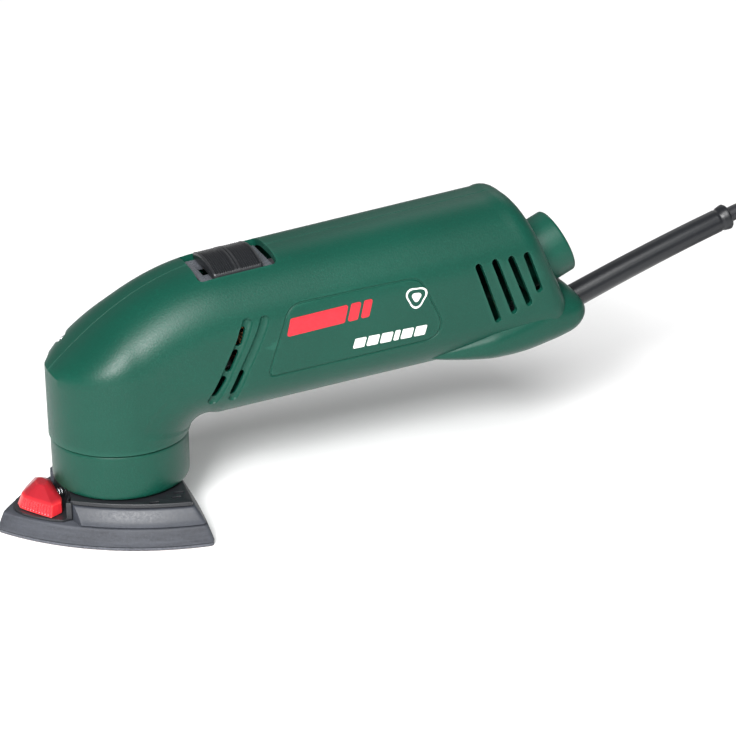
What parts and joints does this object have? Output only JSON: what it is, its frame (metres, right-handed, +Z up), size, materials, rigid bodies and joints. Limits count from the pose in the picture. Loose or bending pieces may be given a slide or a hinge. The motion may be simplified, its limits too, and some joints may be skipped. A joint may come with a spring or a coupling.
{
  "type": "detail mouse sander",
  "caption": "Corded detail sander with a delta sanding pad under a right-angle head, slide switch on the roof, bevel-driven orbiting pad, dust outlet and mains lead.",
  "frame": {"origin": "on the working face of the abrasive sheet, under the spindle axis", "axes": "+X from the head along the handle towards the tail and the cord, +Z up the spindle axis away from the work, the clamshell split lies in the XZ plane"},
  "size_m": [0.4952, 0.1422, 0.1242],
  "materials": {
    "green_shell": "fine moulded texture, satin",
    "black_plastic": "satin black moulding",
    "black_rubber": "soft satin PVC and rubber",
    "red_catch": "semi-gloss red moulding",
    "grey_shoe": "satin grey",
    "dark_pad": "dense foam, rough",
    "abrasive": "grit on cloth",
    "steel": "ground",
    "laminations": "stacked sheet steel",
    "copper_winding": "enamelled copper wire",
    "brass": "satin",
    "cast_aluminium": "as cast",
    "carbon": "graphite",
    "fan_plastic": "moulded",
    "capacitor_case": "gloss"
  },
  "bodies": {
    "housing": {"housing_left": "green_shell", "housing_right": "green_shell", "head_collar": "green_shell", "dust_outlet": "green_shell", "switch_frame": "black_plastic", "switch_module": "black_plastic", "cord_clamp": "black_plastic", "cord_tie": "black_plastic", "cord_guard": "black_rubber", "supply_cord": "black_rubber", "cord_coil": "black_rubber", "cord_tail": "black_rubber", "plug_body": "black_rubber", "oscillation_leg_1": "black_rubber", "oscillation_leg_2": "black_rubber", "oscillation_leg_3": "black_rubber", "spindle_bearing_lower": "steel", "spindle_bearing_upper": "steel", "motor_bearing_front": "steel", "motor_bearing_rear": "steel", "case_screw_1": "steel", "case_screw_2": "steel", "case_screw_3": "steel", "case_screw_4": "steel", "case_screw_5": "steel", "clamp_screw_1": "steel", "clamp_screw_2": "steel", "stator_core": "laminations", "field_coil_front": "copper_winding", "field_coil_rear": "copper_winding", "brush_holder_left": "brass", "brush_holder_right": "brass", "plug_pin_1": "brass", "plug_pin_2": "brass", "gear_carrier": "cast_aluminium", "carbon_brush_left": "carbon", "carbon_brush_right": "carbon", "capacitor": "capacitor_case"},
    "rotor": {"motor_shaft": "steel", "drive_pinion": "brass", "armature_core": "laminations", "armature_winding_front": "copper_winding", "armature_winding_rear": "copper_winding", "commutator": "copper_winding", "fan": "fan_plastic"},
    "spindle": {"spindle_shaft": "steel", "bevel_gear": "steel", "counterweight": "brass"},
    "pad": {"pad_bearing": "steel", "pad_carrier": "black_plastic", "pad_shoe": "grey_shoe", "sanding_pad": "dark_pad", "abrasive_sheet": "abrasive"},
    "catch": {"release_catch": "red_catch", "catch_spring": "steel"},
    "switch": {"switch_slider": "black_plastic", "switch_link": "fan_plastic"}
  },
  "joints": [
    {"name": "motor_spin", "type": "hinge", "parent": "housing", "child": "rotor", "pos_m": [0, 0, 0.073], "axis": [0.9945, 0, 0.1045], "continuous": true},
    {"name": "spindle_spin", "type": "hinge", "parent": "housing", "child": "spindle", "pos_m": [0, 0, 0.05], "axis": [0, 0, 1], "continuous": true},
    {"name": "pad_orbit", "type": "hinge", "parent": "spindle", "child": "pad", "pos_m": [0.00075, 0, 0.02], "axis": [0, 0, 1], "continuous": true},
    {"name": "switch_slide", "type": "slide", "parent": "housing", "child": "switch", "axis": [-0.9945, 0, -0.1045], "range_m": [0, 0.006]},
    {"name": "catch_press", "type": "slide", "parent": "pad", "child": "catch", "axis": [1, 0, 0], "range_m": [0, 0.0025], "stiffness_N_per_m": 600, "springref_m": -0.003}
  ],
  "couplings": [
    {"joint": "spindle_spin", "follows": "motor_spin", "ratio": 0.5},
    {"joint": "pad_orbit", "follows": "motor_spin", "ratio": -0.5}
  ]
}
